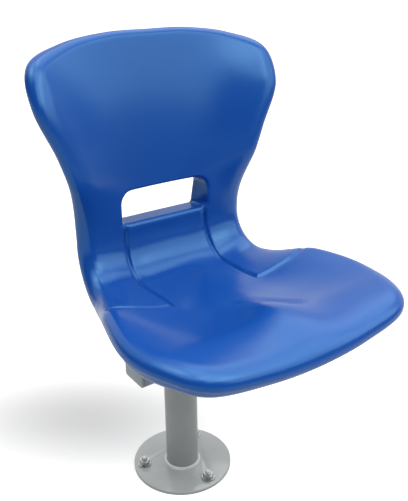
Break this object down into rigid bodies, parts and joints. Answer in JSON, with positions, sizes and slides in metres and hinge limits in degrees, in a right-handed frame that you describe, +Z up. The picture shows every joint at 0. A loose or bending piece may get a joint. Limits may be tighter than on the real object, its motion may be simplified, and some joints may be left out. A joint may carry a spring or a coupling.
{
  "type": "stadium seat",
  "caption": "Blue moulded plastic stadium seat with a slotted back, on a round grey steel post with a round bolt-down base plate.",
  "frame": {"origin": "centre of the base plate's underside, on the axis of the post", "axes": "+Z up, the seat faces -Y, +X is the viewer's right when looking at the seat from the front"},
  "size_m": [0.4466, 0.4514, 0.7878],
  "materials": {
    "blue_shell": "satin royal blue polyethylene, coloured through, very fine texture",
    "grey_steel": "satin grey powder coat over welded steel",
    "zinc_steel": "bright zinc-plated fasteners",
    "insert_brass": "turned brass threaded inserts, hidden in the bosses"
  },
  "bodies": {
    "root": {"seat_shell": "blue_shell", "base_plate": "grey_steel", "post_tube": "grey_steel", "post_foot_weld": "grey_steel", "post_head_weld": "grey_steel", "front_rail": "grey_steel", "carrier_beam": "grey_steel", "beam_gusset": "grey_steel", "rear_saddle": "grey_steel", "rail_end_plate_left": "grey_steel", "rail_end_plate_right": "grey_steel", "beam_end_plate": "grey_steel", "rail_seam_left": "grey_steel", "rail_seam_right": "grey_steel", "saddle_seam_left": "grey_steel", "saddle_seam_right": "grey_steel", "insert_front_left": "insert_brass", "seat_washer_front_left": "zinc_steel", "seat_bolt_front_left": "zinc_steel", "insert_front_right": "insert_brass", "seat_washer_front_right": "zinc_steel", "seat_bolt_front_right": "zinc_steel", "insert_rear_left": "insert_brass", "seat_washer_rear_left": "zinc_steel", "seat_bolt_rear_left": "zinc_steel", "insert_rear_right": "insert_brass", "seat_washer_rear_right": "zinc_steel", "seat_bolt_rear_right": "zinc_steel", "anchor_stud_1": "zinc_steel", "anchor_washer_1": "zinc_steel", "anchor_nut_1": "zinc_steel", "anchor_stud_2": "zinc_steel", "anchor_washer_2": "zinc_steel", "anchor_nut_2": "zinc_steel", "anchor_stud_3": "zinc_steel", "anchor_washer_3": "zinc_steel", "anchor_nut_3": "zinc_steel"}
  },
  "joints": []
}
